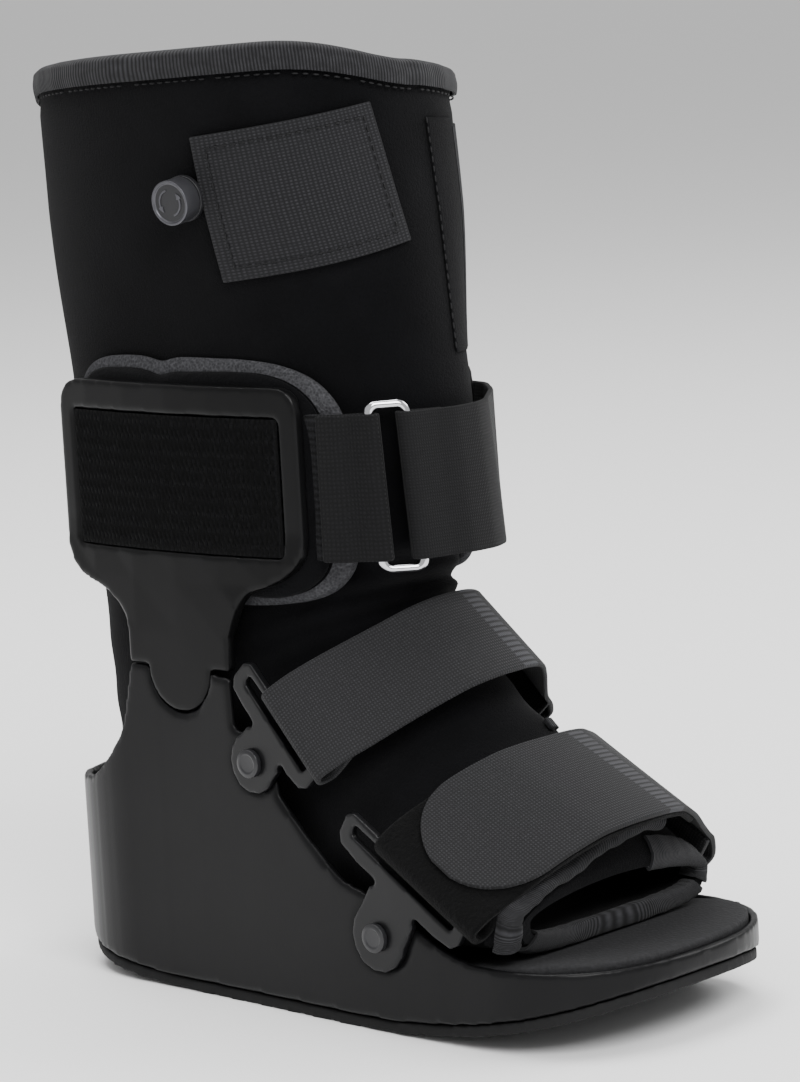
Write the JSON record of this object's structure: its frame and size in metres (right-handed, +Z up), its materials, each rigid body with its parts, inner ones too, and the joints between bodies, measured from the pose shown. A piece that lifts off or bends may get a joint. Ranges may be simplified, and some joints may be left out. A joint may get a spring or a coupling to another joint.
{
  "type": "medical walking boot",
  "caption": "Short orthopaedic walking boot: rocker-soled plastic shell with side struts, padded open-toe liner, hook-and-loop straps over calf, ankle and toes, and an air valve knob.",
  "frame": {"origin": "middle of the bounding box at the bottom of the sole", "axes": "+Z up the leg, -Y toward the toes, -X toward the side with the air valve and the strap ring"},
  "size_m": [0.129, 0.2732, 0.3251],
  "materials": {
    "shell_plastic": "satin moulded nylon",
    "rivet_plastic": "satin",
    "outsole_rubber": "matt moulded tread",
    "footbed_foam": "matt foam",
    "ring_chrome": "polished",
    "knob_plastic": "metallised plastic",
    "pad_cloth": "brushed cloth over foam",
    "hook_and_pile": "hook and pile tape",
    "webbing": "woven loop-faced webbing",
    "binding_cloth": "knitted edge binding",
    "liner_cloth": "brushed cloth over foam"
  },
  "bodies": {
    "boot": {"shell": "shell_plastic", "outsole": "outsole_rubber", "strut_right": "shell_plastic", "strut_left": "shell_plastic", "loop_ankle_right": "shell_plastic", "loop_ankle_left": "shell_plastic", "loop_toe_right": "shell_plastic", "loop_toe_left": "shell_plastic", "rivet_ankle_right": "rivet_plastic", "rivet_ankle_left": "rivet_plastic", "rivet_toe_right": "rivet_plastic", "rivet_toe_left": "rivet_plastic", "strap_ring": "ring_chrome", "valve_base": "knob_plastic", "footbed": "footbed_foam", "liner": "liner_cloth", "top_binding": "binding_cloth", "label_patch": "webbing", "closure_flap": "liner_cloth", "closure_edge": "binding_cloth", "strut_pad_right": "pad_cloth", "strut_pad_left": "pad_cloth", "hook_patch_right": "hook_and_pile", "hook_patch_left": "hook_and_pile", "calf_tab": "webbing", "calf_strap": "webbing", "ankle_strap": "webbing", "toe_strap_pile": "hook_and_pile", "toe_strap": "webbing", "instep_edge": "binding_cloth", "toe_flap_near": "liner_cloth", "toe_edge_near": "binding_cloth", "toe_flap_far": "binding_cloth", "toe_edge_sole": "binding_cloth"},
    "knob": {"valve_knob": "knob_plastic"}
  },
  "joints": [
    {"name": "valve_turn", "type": "hinge", "parent": "boot", "child": "knob", "pos_m": [-0.05676, 0.03208, 0.28037], "axis": [-0.9902, -0.0822, -0.1126], "range_deg": [-60, 60]}
  ]
}
